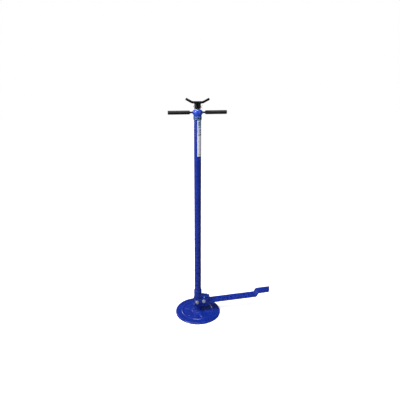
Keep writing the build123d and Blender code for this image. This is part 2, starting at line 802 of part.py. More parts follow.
# flat strap with both arms bent up into a cradle
arm_run = arm_length * cos(radians(arm_angle))
arm_rise = arm_length * sin(radians(arm_angle))
tip_run = saddle_thickness * sin(radians(arm_angle))
tip_drop = saddle_thickness * cos(radians(arm_angle))
knee_run = saddle_thickness * tan(radians(arm_angle / 2))
saddle_top = saddle_bottom + saddle_thickness
with BuildPart() as cradle:
    with BuildSketch(Plane.XZ):
        with BuildLine():
            Polyline(
                (0, saddle_top),
                (saddle_flat, saddle_top),
                (saddle_flat + arm_run, saddle_top + arm_rise),
                (saddle_flat + arm_run + tip_run, saddle_top + arm_rise - tip_drop),
                (saddle_flat + knee_run, saddle_bottom),
                (0, saddle_bottom),
                (0, saddle_top),
            )
        make_face()
        mirror(about=Plane.YZ)
    extrude(amount=saddle_depth / 2, both=True)
    knees = cradle.edges().filter_by(Axis.Y).filter_by(
        lambda edge: 1 < abs(edge.center().X) < saddle_flat + knee_run + 1
    )
    fillet(knees.filter_by(lambda edge: edge.center().Z > saddle_top - 1), saddle_knee)
    knees = cradle.edges().filter_by(Axis.Y).filter_by(
        lambda edge: abs(edge.center().X) > saddle_flat and edge.center().Z < saddle_bottom + 0.5
    )
    fillet(knees, saddle_knee + saddle_thickness - 2)
    tip_corners = cradle.edges().filter_by(
        lambda edge: abs(edge.center().X) > saddle_flat + arm_run
        and abs(edge.center().Y) > saddle_depth / 2 - 0.1
        and edge.length < saddle_thickness + 1
    )
    fillet(tip_corners, 7)
    fillet(cradle.edges().filter_by(lambda edge: edge.length > 5), 1.2)
with BuildPart() as saddle_plate:
    add(cradle.part, rotation=(0, 0, saddle_turn))
saddle_plate.part.label = "saddle_plate"
export_step(saddle_plate.part, "parts/saddle_plate.step")

# split pin: a loop on one side, two bent legs on the other
pin_start_x = sleeve_radius + 1.0
pin_end_x = sleeve_radius + 0.8
with BuildPart() as straight_pin:
    with BuildSketch(Plane.YZ.offset(-pin_start_x)):
        with Locations((0, cotter_z)):
            Circle(cotter_radius)
    extrude(amount=pin_start_x + pin_end_x)
    for side in (-1, 1):
        bend = radians(side * cotter_spread)
        with BuildSketch(
            Plane(origin=(pin_end_x - 0.6, 0, cotter_z), z_dir=(cos(bend), 0, sin(bend)))
        ):
            Circle(cotter_radius * 0.62)
        extrude(amount=cotter_leg)
    with Locations(Location((-pin_start_x - cotter_radius * 1.4, 0, cotter_z), (90, 0, 0))):
        Torus(cotter_radius * 1.5, cotter_radius * 0.6)
with BuildPart() as cotter_pin:
    add(straight_pin.part, rotation=(0, 0, cotter_turn))
cotter_pin.part.label = "cotter_pin"
export_step(cotter_pin.part, "parts/cotter_pin.step")
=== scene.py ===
import bpy
import bmesh
import json
from math import asin, cos, pi, radians, sin, sqrt, tan, tau
from mathutils import Matrix, Vector


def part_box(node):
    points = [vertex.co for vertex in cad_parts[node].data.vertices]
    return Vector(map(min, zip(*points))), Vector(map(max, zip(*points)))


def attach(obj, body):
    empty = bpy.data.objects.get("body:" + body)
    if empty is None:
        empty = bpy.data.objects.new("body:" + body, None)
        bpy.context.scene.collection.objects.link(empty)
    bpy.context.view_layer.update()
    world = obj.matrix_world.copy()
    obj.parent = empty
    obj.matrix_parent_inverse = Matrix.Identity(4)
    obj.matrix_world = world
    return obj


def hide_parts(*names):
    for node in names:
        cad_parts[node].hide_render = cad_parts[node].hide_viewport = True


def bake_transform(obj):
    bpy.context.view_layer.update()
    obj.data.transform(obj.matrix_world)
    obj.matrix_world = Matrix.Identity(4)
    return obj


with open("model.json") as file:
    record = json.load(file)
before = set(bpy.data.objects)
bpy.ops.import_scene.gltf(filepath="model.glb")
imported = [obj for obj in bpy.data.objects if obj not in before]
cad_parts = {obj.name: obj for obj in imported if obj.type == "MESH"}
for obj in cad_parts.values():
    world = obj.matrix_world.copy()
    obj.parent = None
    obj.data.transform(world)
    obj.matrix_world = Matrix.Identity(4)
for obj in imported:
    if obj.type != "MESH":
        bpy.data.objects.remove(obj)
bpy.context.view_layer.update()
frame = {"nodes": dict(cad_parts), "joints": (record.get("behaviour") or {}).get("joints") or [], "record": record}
nodes = frame["nodes"]
joints = {joint["name"]: joint for joint in frame["joints"]}
MM = 0.001


def middle_of(node):
    """The middle of a node's box at rest."""
    low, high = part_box(node)
    return (low + high) / 2


# ---------------------------------------------------------------- shader nodes
def feed(tree, socket, value):
    """Gives a socket a value, or links another node's output to it."""
    if isinstance(value, bpy.types.NodeSocket):
        tree.links.new(value, socket)
    else:
        socket.default_value = value


def add_node(tree, kind, inputs=None, **settings):
    """A node with its settings; each input is a value or another node's output."""
    node = tree.nodes.new(kind)
    for name, value in settings.items():
        setattr(node, name, value)
    for name, value in (inputs or {}).items():
        feed(tree, node.inputs[name], value)
    return node


def calc(tree, operation, *values):
    """The result of a maths operation on values or other nodes' outputs."""
    node = tree.nodes.new("ShaderNodeMath")
    node.operation = operation
    for socket, value in zip(node.inputs, values):
        feed(tree, socket, value)
    return node.outputs[0]


def calc_vector(tree, operation, *vectors):
    """The number that a vector operation such as LENGTH or DOT_PRODUCT gives."""
    node = tree.nodes.new("ShaderNodeVectorMath")
    node.operation = operation
    for socket, vector in zip(node.inputs, vectors):
        tree.links.new(vector, socket)
    return node.outputs["Value"]


def spread(tree, value, low, high, start=0.3, end=0.7):
    """The value from start to end, spread over low to high."""
    inputs = {"Value": value, "From Min": start, "From Max": end, "To Min": low, "To Max": high}
    return add_node(tree, "ShaderNodeMapRange", inputs).outputs["Result"]


def mix_shaders(tree, factor, first, second):
    """The first shader where the factor is 0 and the second where it is 1."""
    mix = add_node(tree, "ShaderNodeMixShader", {"Fac": factor})
    tree.links.new(first.outputs[0], mix.inputs[1])
    tree.links.new(second.outputs[0], mix.inputs[2])
    return mix


# ---------------------------------------------------------------- camera, floor and light
CAMERA_PLACE = (-0.3002, -2.2376, 1.5381)
CAMERA_DOWN = 18.19  # degrees that it looks down
CAMERA_TURN = -8.0  # degrees round the vertical
CAMERA_LENS = 34.65  # mm, on a sensor 36 mm wide


def make_camera():
    """A camera a little above the hub, looking down at the whole stand from the front left."""
    data = bpy.data.cameras.new("camera")
    data.sensor_width = 36.0
    data.lens = CAMERA_LENS
    camera = bpy.data.objects.new("camera", data)
    camera.location = CAMERA_PLACE
    camera.rotation_euler = (radians(90 - CAMERA_DOWN), 0, radians(CAMERA_TURN))
    bpy.context.scene.collection.objects.link(camera)
    bpy.context.scene.camera = camera


def make_world():
    """White where the camera sees it, and a dim even room for the light on the object."""
    world = bpy.data.worlds.new("studio")
    bpy.context.scene.world = world
    world.use_nodes = True
    tree = world.node_tree
    tree.nodes.clear()
    path = add_node(tree, "ShaderNodeLightPath")
    seen = add_node(tree, "ShaderNodeBackground", {"Color": (1, 1, 1, 1), "Strength": 1.0})
    room = add_node(tree, "ShaderNodeBackground", {"Color": (0.85, 0.9, 1.0, 1), "Strength": 0.09})
    mix = mix_shaders(tree, path.outputs["Is Camera Ray"], room, seen)
    add_node(tree, "ShaderNodeOutputWorld", {"Surface": mix.outputs[0]})


def make_lamp(name, place, aim, size, power):
    """A rectangular soft box at place, facing the point aim."""
    data = bpy.data.lights.new(name, "AREA")
    data.shape = "RECTANGLE"
    data.size, data.size_y = size
    data.energy = power
    lamp = bpy.data.objects.new(name, data)
    lamp.location = place
    lamp.rotation_euler = (Vector(aim) - Vector(place)).to_track_quat("-Z", "Y").to_euler()
    bpy.context.scene.collection.objects.link(lamp)


def make_floor():
    """A pale floor a hair under the base, bright to the camera and a soft grey to reflections."""
    reach = 12.0
    level = -0.5 * MM
    mesh = bpy.data.meshes.new("floor")
    corners = [(-reach, -reach), (reach, -reach), (reach, reach), (-reach, reach)]
    mesh.from_pydata([(x, y, level) for x, y in corners], [], [(0, 1, 2, 3)])
    floor = bpy.data.objects.new("floor", mesh)
    bpy.context.scene.collection.objects.link(floor)
    material = bpy.data.materials.new("floor")
    material.use_nodes = True
    tree = material.node_tree
    tree.nodes.clear()
    path = add_node(tree, "ShaderNodeLightPath")
    place = add_node(tree, "ShaderNodeTexCoord").outputs["Object"]
    distance = calc_vector(tree, "LENGTH", place)
    strength = spread(tree, distance, 0.72, 1.0, start=0.4, end=2.0)  # a little dimmer by the base
    glow = add_node(tree, "ShaderNodeEmission", {"Color": (1, 1, 1, 1), "Strength": strength})
    pale = add_node(tree, "ShaderNodeBsdfDiffuse", {"Color": (0.9, 0.9, 0.9, 1)})
    lit = add_node(tree, "ShaderNodeAddShader")
    tree.links.new(glow.outputs[0], lit.inputs[0])
    tree.links.new(pale.outputs[0], lit.inputs[1])
    grey = add_node(tree, "ShaderNodeBsdfDiffuse", {"Color": (0.2, 0.2, 0.21, 1)})
    mix = mix_shaders(tree, path.outputs["Is Camera Ray"], grey, lit)
    add_node(tree, "ShaderNodeOutputMaterial", {"Surface": mix.outputs[0]})
    mesh.materials.append(material)


make_camera()
make_world()
make_floor()
make_lamp("key", place=(-2.9, -1.3, 2.2), aim=(0, 0, 0.8), size=(0.9, 2.4), power=105)
make_lamp("fill", place=(2.4, -2.2, 1.5), aim=(0, 0, 0.8), size=(0.8, 2.0), power=13)
make_lamp("top", place=(-0.3, -0.9, 3.5), aim=(0, 0, 0.4), size=(1.4, 1.4), power=66)
make_lamp("back", place=(-2.1, 2.4, 1.7), aim=(0, 0, 0.7), size=(0.8, 1.8), power=32)
bpy.context.scene.view_settings.view_transform = "Standard"


# ---------------------------------------------------------------- materials
# the colour of the painted shade in plated metal's corners
CORNER_SHADE = (0.08, 0.075, 0.07)


def start_material(name):
    """An empty finish: its node tree, its shader and the place on the piece in metres."""
    material = bpy.data.materials.new(name)
    material.use_nodes = True
    tree = material.node_tree
    shader = tree.nodes["Principled BSDF"]
    place = add_node(tree, "ShaderNodeTexCoord").outputs["Object"]
    return material, tree, shader, place


def noise(tree, place, scale, detail=2.0, roughness=0.5):
    """Noise with the given number of waves to a metre."""
    inputs = {"Vector": place, "Scale": scale, "Detail": detail, "Roughness": roughness}
    return add_node(tree, "ShaderNodeTexNoise", inputs).outputs["Fac"]


def blend_colors(tree, factor, first, second):
    """The first colour where the factor is 0 and the second where it is 1."""
    node = tree.nodes.new("ShaderNodeMix")
    node.data_type = "RGBA"
    ends = {"Factor": factor, "A": first, "B": second}
    for socket in node.inputs:
        value = ends.get(socket.name)
        if value is None or not socket.enabled:
            continue
        feed(tree, socket, (*value, 1) if isinstance(value, tuple) else value)
    return next(socket for socket in node.outputs if socket.enabled)


def edge_mask(tree, radius):
    """1 along convex and concave edges, 0 on open faces."""
    soft = add_node(tree, "ShaderNodeBevel", {"Radius": radius}, samples=4).outputs[0]
    plain = add_node(tree, "ShaderNodeNewGeometry").outputs["Normal"]
    likeness = calc_vector(tree, "DOT_PRODUCT", soft, plain)
    return spread(tree, likeness, 1.0, 0.0, start=0.86, end=0.995)


def corner_shade_mask(tree, reach, most, start, end):
    """Painted shade: most in corners and crevices within reach, 0 on open faces."""
    shade = add_node(tree, "ShaderNodeAmbientOcclusion", {"Distance": reach}, samples=6)
    return spread(tree, shade.outputs["AO"], most, 0.0, start, end)


def relief(tree, shader, layers, edge=0.0):
    """Bump from layers of (height, strength, depth), over edges that are softened by edge."""
    normal = None
    if edge:
        normal = add_node(tree, "ShaderNodeBevel", {"Radius": edge}, samples=4).outputs[0]
    for height, strength, depth in layers:
        inputs = {"Height": height, "Strength": strength, "Distance": depth}
        if normal:
            inputs["Normal"] = normal
        normal = add_node(tree, "ShaderNodeBump", inputs).outputs[0]
    tree.links.new(normal, shader.inputs["Normal"])


def enamel(name, color, bright, deep, gloss, peel, grain=850.0, cast=0.0, shine=1.0):
    """Sprayed enamel: uneven in tone, pale where it is thin on edges, with painted shade in its corners and an
    orange-peel skin.

    The colour wanders between deep and color. The peel and the grain are the skin's height and
    waves to a metre, cast is the roughness of the casting under it, and shine scales its gloss.
    """
    material, tree, shader, place = start_material(name)
    tone = noise(tree, place, scale=14.0, detail=3.0)
    body = blend_colors(tree, spread(tree, tone, 0.0, 1.0), deep, color)
    cloud = noise(tree, place, scale=70.0, detail=4.0, roughness=0.6)
    thin = calc(tree, "MULTIPLY", edge_mask(tree, 0.9 * MM), spread(tree, cloud, 0.1, 0.75))
    body = blend_colors(tree, thin, body, bright)
    # painted shade: darker towards corners and crevices, from ambient occlusion
    corner = corner_shade_mask(tree, reach=9 * MM, most=0.55, start=0.15, end=0.85)
    body = blend_colors(tree, corner, body, tuple(0.35 * part for part in deep))
    tree.links.new(body, shader.inputs["Base Color"])
    tree.links.new(spread(tree, cloud, gloss - 0.02, gloss + 0.04), shader.inputs["Roughness"])
    shader.inputs["Specular IOR Level"].default_value = 0.45 * shine
    shader.inputs["Coat Weight"].default_value = 0.35 * shine
    shader.inputs["Coat Roughness"].default_value = 0.1
    layers = [(noise(tree, place, grain), peel, 0.12 * MM), (cloud, 0.25 * peel, 0.5 * MM)]
    if cast:
        skin = noise(tree, place, scale=330.0, detail=3.0, roughness=0.65)
        layers.append((skin, cast, 0.35 * MM))
    relief(tree, shader, layers, edge=0.5 * MM)
    return material


def plated(name, color, tint, rough, brushed=0.1, metallic=1.0):
    """Plated or bare steel: clouded tint, fine scratches and a little painted shade in its corners."""
    material, tree, shader, place = start_material(name)
    cloud = noise(tree, place, scale=120.0, detail=4.0, roughness=0.6)
    body = blend_colors(tree, spread(tree, cloud, 0.0, 1.0), color, tint)
    # painted shade: darker towards corners and crevices, from ambient occlusion
    corner = corner_shade_mask(tree, reach=3 * MM, most=0.7, start=0.1, end=0.8)
    body = blend_colors(tree, corner, body, CORNER_SHADE)
    tree.links.new(body, shader.inputs["Base Color"])
    shader.inputs["Metallic"].default_value = metallic
    stretched = add_node(tree, "ShaderNodeMapping", {"Vector": place, "Scale": (1, 1, 14)})
    scratch = noise(tree, stretched.outputs[0], scale=240.0, detail=3.0, roughness=0.7)
    tree.links.new(spread(tree, scratch, rough - 0.07, rough + 0.12), shader.inputs["Roughness"])
    relief(tree, shader, [(scratch, brushed, 0.05 * MM)], edge=0.3 * MM)
    return material


def soft_grip(name):
    """Moulded grip: fine matt pores, slightly polished where hands hold it."""
    material, tree, shader, place = start_material(name)
    cloud = noise(tree, place, scale=35.0, detail=3.0)
    fresh, dusty = (0.006, 0.0065, 0.007), (0.012, 0.0125, 0.014)
    body = blend_colors(tree, spread(tree, cloud, 0.0, 1.0), fresh, dusty)
    tree.links.new(body, shader.inputs["Base Color"])
    tree.links.new(spread(tree, cloud, 0.42, 0.6), shader.inputs["Roughness"])
    shader.inputs["Specular IOR Level"].default_value = 0.35
    pores = noise(tree, place, scale=2600.0)
    relief(tree, shader, [(pores, 0.35, 0.12 * MM), (cloud, 0.1, 0.6 * MM)], edge=0.6 * MM)
    return material


def nylon(name):
    """Moulded nylon: off-white, slightly cloudy and translucent."""
    material, tree, shader, place = start_material(name)
    cloud = noise(tree, place, scale=260.0, detail=3.0)
    clear, cloudy = (0.78, 0.77, 0.63), (0.66, 0.64, 0.5)
    body = blend_colors(tree, spread(tree, cloud, 0.0, 1.0), clear, cloudy)
    tree.links.new(body, shader.inputs["Base Color"])
    shader.inputs["Roughness"].default_value = 0.45
    shader.inputs["Subsurface Weight"].default_value = 0.15
    shader.inputs["Subsurface Scale"].default_value = 0.5 * MM
    relief(tree, shader, [(noise(tree, place, scale=1200.0), 0.1, 0.1 * MM)], edge=0.3 * MM)
    return material


# the label's two upright edges, in degrees round the column from +X
LABEL_EDGES = (-102.6, 6.4)
LABEL_WHITE = (0.87, 0.9, 1.0)
LABEL_TINT = (0.62, 0.74, 1.0)
# each printed block: left, right, bottom and top as shares of the label, and its ink
LABEL_BLOCKS = (
    (0.17, 0.56, 0.855, 0.965, (0.06, 0.14, 0.17)),
    (0.25, 0.48, 0.88, 0.94, (0.2, 0.42, 0.45)),
    (0.2, 0.56, 0.79, 0.835, (0.22, 0.4, 0.46)),
    (0.22, 0.68, 0.715, 0.755, (0.34, 0.3, 0.33)),
    (0.2, 0.72, 0.672, 0.684, (0.4, 0.09, 0.09)),
    (0.2, 0.72, 0.648, 0.66, (0.4, 0.09, 0.09)),
    (0.16, 0.76, 0.59, 0.62, (0.03, 0.022, 0.028)),
    (0.1, 0.9, 0.05, 0.062, (0.16, 0.17, 0.25)),
)
# the rules under the blocks: the same four shares for their area, the rules that would fill the
# label's height, how much of each step is ink, and how strongly the ink covers
RULED_AREA = (0.2, 0.8, 0.1, 0.56)
RULE_COUNT = 26.0
RULE_SHARE = 0.34
RULE_WEIGHT = 0.6
RULE_INK = (0.5, 0.42, 0.47)


def label_film(name):
    """Printed film on the column: plain coloured blocks and rules, with no lettering."""
    material, tree, shader, place = start_material(name)
    low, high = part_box("label")
    split = add_node(tree, "ShaderNodeSeparateXYZ", {"Vector": place})
    east, north, height = (split.outputs[axis] for axis in ("X", "Y", "Z"))
    turn = calc(tree, "ARCTAN2", north, east)
    across = spread(tree, turn, 0.0, 1.0, *(radians(edge) for edge in LABEL_EDGES))
    up = spread(tree, height, 0.0, 1.0, low.z, high.z)

    def band(value, start, end):
        """1 where the value lies between start and end."""
        above = calc(tree, "GREATER_THAN", value, start)
        below = calc(tree, "LESS_THAN", value, end)
        return calc(tree, "MULTIPLY", above, below)

    def block(left, right, bottom, top):
        """1 inside a block of the label."""
        return calc(tree, "MULTIPLY", band(across, left, right), band(up, bottom, top))

    rising = spread(tree, up, 0.0, 1.0, start=0.55, end=0.68)
    paper = blend_colors(tree, rising, LABEL_WHITE, LABEL_TINT)
    for *edges, ink in LABEL_BLOCKS:
        paper = blend_colors(tree, block(*edges), paper, ink)
    steps = calc(tree, "FRACT", calc(tree, "MULTIPLY", up, RULE_COUNT))
    rules = calc(tree, "LESS_THAN", steps, RULE_SHARE)
    rows = calc(tree, "MULTIPLY", rules, block(*RULED_AREA))
    paper = blend_colors(tree, calc(tree, "MULTIPLY", rows, RULE_WEIGHT), paper, RULE_INK)
    tree.links.new(paper, shader.inputs["Base Color"])
    shader.inputs["Roughness"].default_value = 0.28
    shader.inputs["Coat Weight"].default_value = 0.3
    relief(tree, shader, [(noise(tree, place, scale=60.0), 0.08, 0.4 * MM)])
    return material


BLUE = (0.0075, 0.034, 0.38)
PALE_BLUE = (0.05, 0.11, 0.58)
DEEP_BLUE = (0.005, 0.023, 0.29)
HUB_BLUE = (0.026, 0.085, 0.64)
HUB_DEEP = (0.018, 0.06, 0.5)
BLACK = (0.004, 0.0044, 0.0046)
PALE_BLACK = (0.02, 0.021, 0.023)
DEEP_BLACK = (0.0025, 0.0027, 0.0028)
# each plated or bare metal: its colour, its tint, its roughness and anything else it sets
METALS = {
    "zinc": ((0.72, 0.82, 1.0), (0.6, 0.7, 0.9), 0.3, {"metallic": 0.65}),
    "yellow_zinc": ((0.44, 0.45, 0.38), (0.36, 0.38, 0.36), 0.33, {"metallic": 0.8}),
    "spring_steel": ((0.09, 0.09, 0.1), (0.16, 0.16, 0.17), 0.38, {}),
    "bearing_steel": ((0.2, 0.38, 0.85), (0.12, 0.25, 0.62), 0.32, {"metallic": 0.6}),
    "cage_steel": ((0.07, 0.12, 0.24), (0.05, 0.08, 0.16), 0.4, {}),
    "screw_steel": ((0.5, 0.5, 0.51), (0.34, 0.34, 0.36), 0.3, {"brushed": 0.2}),
    "black_steel": ((0.03, 0.032, 0.045), (0.05, 0.05, 0.06), 0.36, {}),
    "pin_steel": ((0.2, 0.19, 0.18), (0.3, 0.29, 0.27), 0.36, {"metallic": 0.8}),
}
MATERIALS = {
    name: plated(name, color, tint, rough, **others)
    for name, (color, tint, rough, others) in METALS.items()
}
MATERIALS["blue_paint"] = enamel("blue_paint", BLUE, PALE_BLUE, DEEP_BLUE, gloss=0.27, peel=0.06)
MATERIALS["black_paint"] = enamel(
    "black_paint", BLACK, PALE_BLACK, DEEP_BLACK, gloss=0.3, peel=0.1, shine=0.45
)
MATERIALS["nylon"] = nylon("nylon")
MATERIALS["grip_rubber"] = soft_grip("grip_rubber")
MATERIALS["label_film"] = label_film("label_film")
# two finishes that go on single pieces over their slot's own
PIN_STEEL = MATERIALS["pin_steel"]
CAST_PAINT = enamel(
    "cast_blue_paint", HUB_BLUE, PALE_BLUE, HUB_DEEP, gloss=0.25, peel=0.06, cast=0.22
)

for row in frame["record"]["subparts"]:
    mesh = nodes[row["node"]].data
    mesh.materials.clear()
    mesh.materials.append(MATERIALS[row["material_slot"]])
nodes["hub"].data.materials[0] = CAST_PAINT


# ---------------------------------------------------------------- mesh shapes, as (points, faces)
def ring_faces(rings, segments):
    """The faces that join one closed ring of points to the next."""
    faces = []
    for row in range(rings - 1):
        for k in range(segments):
            a = row * segments + k
            b = row * segments + (k + 1) % segments
            faces.append((a, b, b + segments, a + segments))
    return faces


def lathe(profile, segments=48):
    """A profile of (radius, height) turned round the Z axis."""
    points = []
    for radius, height in profile:
        for k in range(segments):
            turn = tau * k / segments
            points.append(Vector((radius * cos(turn), radius * sin(turn), height)))
    return points, ring_faces(len(profile), segments)


def sweep(route, radii, sides=10, closed=False):
    """A round wire along the route; radii holds one radius for each of its points."""
    count = len(route)
    points, faces = [], []
    before = normal = None
    for i, point in enumerate(route):
        ahead = route[(i + 1) % count] if closed or i < count - 1 else point
        behind = route[i - 1] if closed or i > 0 else point
        tangent = (ahead - behind).normalized()
        normal = before.rotation_difference(tangent) @ normal if before else tangent.orthogonal()
        normal.normalize()
        before = tangent
        side = tangent.cross(normal)
        for k in range(sides):
            turn = tau * k / sides
            points.append(point + radii[i] * (cos(turn) * normal + sin(turn) * side))
    for i in range(count if closed else count - 1):
        for k in range(sides):
            a = i * sides + k
            b = i * sides + (k + 1) % sides
            c = ((i + 1) % count) * sides
            faces.append((a, b, c + (k + 1) % sides, c + k))
    if not closed:
        faces.append(tuple(reversed(range(sides))))
        faces.append(tuple(range((count - 1) * sides, count * sides)))
    return points, faces


def hex_block(flats, height, segments=72):
    """A hexagonal block on z = 0 whose upper corners are turned off at 30 degrees."""
    top_radius = 0.47 * flats
    rings = [[], [], [], []]
    up = Vector((0, 0, 1))
    for k in range(segments):
        turn = tau * k / segments
        reach = flats / 2 / cos((turn + pi / 6) % (pi / 3) - pi / 6)
        drop = max(0.0, reach - top_radius) * tan(radians(30))
        around = Vector((cos(turn), sin(turn), 0))
        rings[0].append(around * reach)
        rings[1].append(around * reach + up * (height - drop))
        rings[2].append(around * top_radius + up * height)
        rings[3].append(up * height)
    return [point for ring in rings for point in ring], ring_faces(len(rings), segments)


def thread(bottom, top, outer, root, pitch, segments=32, key_half=0.0, key_floor=0.0):
    """A threaded bar round the Z axis, with a keyway on +Y if key_half is given.

    key_half is half the keyway's width, and key_floor is its floor's distance from the axis.
    """
    cut = asin(key_half / outer)
    turns = [radians(90) + cut + (tau - 2 * cut) * k / segments for k in range(segments + 1)]
    columns = [(turn, False) for turn in turns]
    if key_half:
        columns += [(turns[-1], True), (turns[0] + tau, True)]
        columns.append((turns[0] + tau, False))
    # where the root and the crest start and end, as shares of the pitch
    profile = ((0.0, root), (0.366, root), (0.5, outer), (0.866, outer))
    rows = []
    for lap in range(-2, int((top - bottom) / pitch) + 2):
        rows += [(lap + share, radius) for share, radius in profile]
    points, faces = [], []
    for share, radius in rows:
        for turn, on_floor in columns:
            x, y = radius * cos(turn), radius * sin(turn)
            if on_floor:
                x = max(-key_half, min(key_half, x))
                y = min(key_floor, y)
            points.append(Vector((x, y, bottom + pitch * (share + turn / tau))))
    width = len(columns)
    for row in range(len(rows) - 1):
        for k in range(width - 1):
            a = row * width + k
            faces.append((a, a + 1, a + 1 + width, a + width))
    return trimmed(points, faces, bottom, top)


def trimmed(points, faces, bottom, top):
    """The shape cut flat at two heights and closed there."""
    near = 1e-6
    shape = bmesh.new()
    corners = [shape.verts.new(point) for point in points]
    for face in faces:
        shape.faces.new([corners[i] for i in face])
    bmesh.ops.remove_doubles(shape, verts=shape.verts, dist=near)
    for height, side in ((bottom, -1), (top, 1)):
        bmesh.ops.bisect_plane(
            shape,
            geom=shape.verts[:] + shape.edges[:] + shape.faces[:],
            plane_co=(0, 0, height),
            plane_no=(0, 0, side),
            clear_outer=True,
        )
        rim = [edge for edge in shape.edges if edge.is_boundary]
        rim = [edge for edge in rim if all(abs(v.co.z - height) < near for v in edge.verts)]
        bmesh.ops.contextual_create(shape, geom=rim)
    shape.verts.index_update()
    points = [corner.co.copy() for corner in shape.verts]
    faces = [tuple(corner.index for corner in face.verts) for face in shape.faces]
    shape.free()
    return points, faces


def joined(*shapes):
    """Several shapes as one."""
    points, faces = [], []
    for more_points, more_faces in shapes:
        start = len(points)
        points += more_points
        faces += [tuple(start + i for i in face) for face in more_faces]
    return points, faces


def moved(shape, matrix):
    """The shape carried by a matrix."""
    points, faces = shape
    return [matrix @ point for point in points], faces


def make_piece(name, shape, slot, body, replaces=(), smooth=40.0):
    """A finished piece that rides on a body and stands for the named nodes.

    Edges sharper than smooth degrees stay sharp. A blended piece has no body of its own.
    """
    points, faces = shape
    mesh = bpy.data.meshes.new(name)
    mesh.from_pydata([tuple(point) for point in points], [], faces)
    near = 1e-7
    clean = bmesh.new()
    clean.from_mesh(mesh)
    bmesh.ops.remove_doubles(clean, verts=clean.verts, dist=near)
    bmesh.ops.dissolve_degenerate(clean, dist=near, edges=clean.edges)
    bmesh.ops.recalc_face_normals(clean, faces=clean.faces)
    clean.to_mesh(mesh)
    clean.free()
    mesh.shade_smooth()
    mesh.set_sharp_from_angle(angle=radians(smooth))
    mesh.materials.append(MATERIALS[slot])
    piece = bpy.data.objects.new(name, mesh)
    bpy.context.scene.collection.objects.link(piece)
    if body:
        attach(piece, body)
    if replaces:
        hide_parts(*replaces)
    return piece


# the pedal's flat bar: its slope, the height of its middle line at x = 0, and half its height
BAR_SLOPE = radians(3.1)
BAR_AXIS = 77.1 * MM
BAR_HALF = 4.0 * MM / cos(BAR_SLOPE)


# ---------------------------------------------------------------- welds
def weld(name, route, size, body, slot="blue_paint", closed=False):
    """A rippled weld bead of radius size along the route, painted over and thinner at open ends."""
    step = 0.45 * MM
    ripple = 1.9 * MM
    fine = [route[0]]
    legs = list(zip(route, route[1:] + route[:1])) if closed else list(zip(route, route[1:]))
    for start, end in legs:
        count = max(1, round((end - start).length / step))
        fine += [start.lerp(end, (k + 1) / count) for k in range(count)]
    if closed:
        fine.pop()
    radii = []
    run = 0.0
    for i in range(len(fine)):
        run += (fine[i] - fine[i - 1]).length if i else 0.0
        # overlapping ripples, a slow drift in width, and thin ends if it isn't closed
        wave = abs(sin(pi * run / ripple)) ** 0.6
        wander = 0.06 * sin(run / (9 * MM)) + 0.04 * sin(run / (3.7 * MM) + 1.3)
        end = min(i, len(fine) - 1 - i) * step / (1.2 * size)
        taper = 1.0 if closed else sqrt(min(1.0, 0.25 + end))
        radii.append(size * (0.9 + 0.12 * wave + wander) * taper)
    return make_piece(name, sweep(fine, radii, sides=10, closed=closed), slot, body, smooth=60.0)


def arc_route(radius, height, start=0.0, sweep_angle=360.0, steps=72):
    """Points on a level arc about the column's axis, angles in degrees."""
    count = steps if sweep_angle == 360.0 else steps + 1
    turns = [radians(start + sweep_angle * k / steps) for k in range(count)]
    return [Vector((radius * cos(turn), radius * sin(turn), height)) for turn in turns]


SIDES = ((-1, "front"), (1, "rear"))  # along Y


def weld_guide_tube():
    """The guide tube's foot on the base, and the bracket's three edges on the guide tube."""
    guide_low, guide_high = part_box("guide_tube")
    guide_radius = guide_high.y
    foot = arc_route(guide_radius + 1.2 * MM, guide_low.z + 1.1 * MM)
    weld("weld_base", foot, 3.9 * MM, "base", closed=True)

    bracket_low, bracket_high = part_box("pivot_bracket")
    root_angle = asin(bracket_high.y / guide_radius)
    root_x = guide_radius * cos(root_angle) + 0.9 * MM
    for side, word in SIDES:
        y = side * (bracket_high.y + 0.6 * MM)
        upright = [
            Vector((root_x, y, bracket_low.z + 3 * MM)),
            Vector((root_x, y, bracket_high.z - 4 * MM)),
        ]
        weld(f"weld_bracket_{word}", upright, 2.0 * MM, "base")
    half = root_angle * 180 / pi - 4
    web = arc_route(guide_radius + 1.1 * MM, bracket_high.z + 0.6 * MM, -half, 2 * half, 24)
    weld("weld_bracket_top", web, 3.0 * MM, "base")


def weld_cheeks():
    """Each cheek's two faces and its end on the bar, over the bar and under it."""
    cheek_low, cheek_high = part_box("pedal_cheek_rear")
    slope = tan(BAR_SLOPE)
    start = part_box("pedal_bar")[0].x + 1.5 * MM
    end = cheek_high.x - 1.5 * MM
    corner_x = cheek_high.x + 0.3 * MM
    faces = ((cheek_low.y - 0.4 * MM, "inside"), (cheek_high.y - 0.4 * MM, "outside"))
    ends = (cheek_low.y + 0.8 * MM, cheek_high.y - 1.2 * MM)
    for side, word in SIDES:
        for lift, edge in ((1, "over"), (-1, "under")):
            level = BAR_AXIS + lift * (BAR_HALF + 0.3 * MM)
            for y, name in faces:
                route = [Vector((x, side * y, level + slope * x)) for x in (start, end)]
                weld(f"weld_cheek_{edge}_{name}_{word}", route, 1.6 * MM, "pedal")
            route = [Vector((corner_x, side * y, level + slope * corner_x)) for y in ends]
            weld(f"weld_cheek_{edge}_end_{word}", route, 1.7 * MM, "pedal")


def weld_top():
    """The saddle's plate on its sleeve, and the two handle rods in the hub."""
    sleeve_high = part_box("saddle_sleeve")[1]
    ring = arc_route(sleeve_high.x + 0.7 * MM, sleeve_high.z - 0.7 * MM)
    weld("weld_saddle", ring, 2.4 * MM, "lift", "black_paint", closed=True)

    hub_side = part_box("hub")[1].x + 0.2 * MM
    handle_z = middle_of("handle_rod_left").z
    radius = 5.6 * MM
    turns = [tau * k / 40 for k in range(40)]
    for side, word in ((-1, "left"), (1, "right")):
        route = [
            Vector((side * hub_side, radius * cos(turn), handle_z + radius * sin(turn)))
            for turn in turns
        ]
        weld(f"weld_handle_{word}", route, 1.2 * MM, "hub", closed=True)


